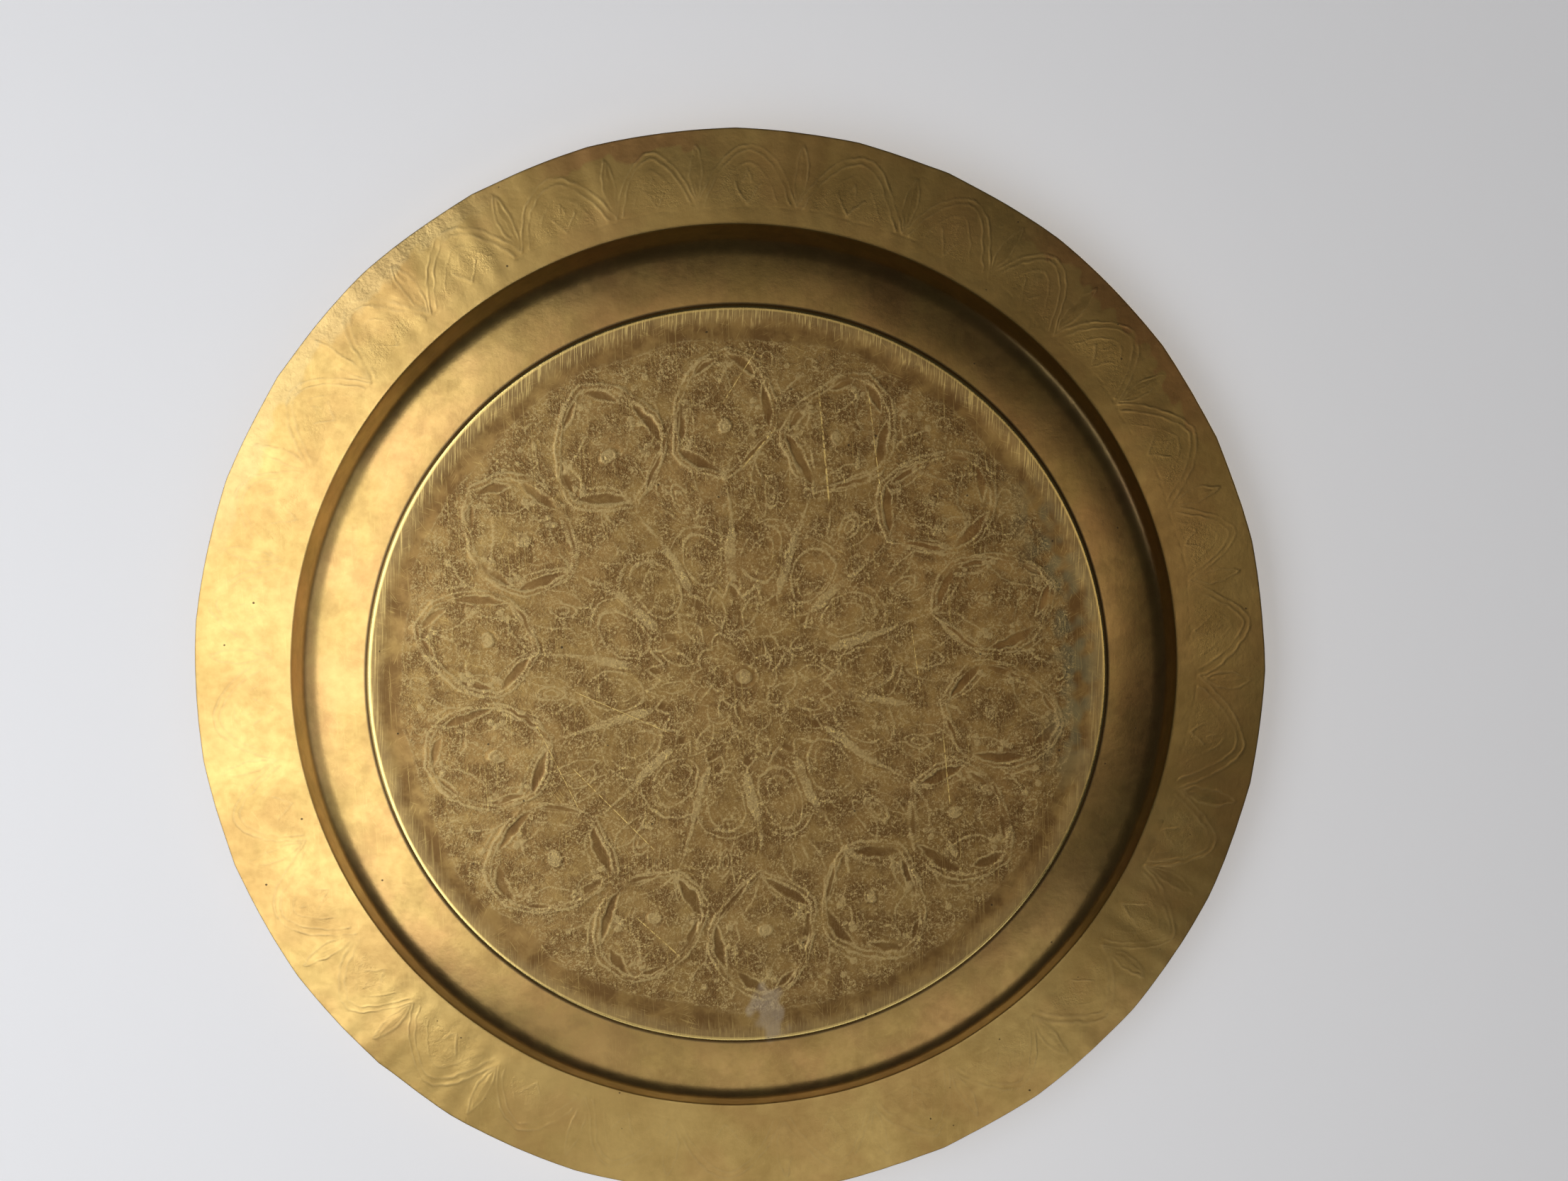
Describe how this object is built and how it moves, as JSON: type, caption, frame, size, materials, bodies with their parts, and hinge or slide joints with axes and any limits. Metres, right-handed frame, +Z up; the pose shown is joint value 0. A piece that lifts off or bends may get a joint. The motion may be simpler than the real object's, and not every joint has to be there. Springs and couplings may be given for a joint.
{
  "type": "chased brass tray",
  "caption": "Round brass serving tray on a raised base, with a shallow wall, a broad flat rim and chased flower ornament.",
  "frame": {"origin": "middle of the underside, where the tray meets the table", "axes": "+Z up through the tray's middle, from the base to the rim; X and Y lie in the table"},
  "size_m": [0.4, 0.4, 0.0224],
  "materials": {
    "brass": "aged, worn bright on its high spots"
  },
  "bodies": {
    "root": {"tray_sheet": "brass"}
  },
  "joints": []
}
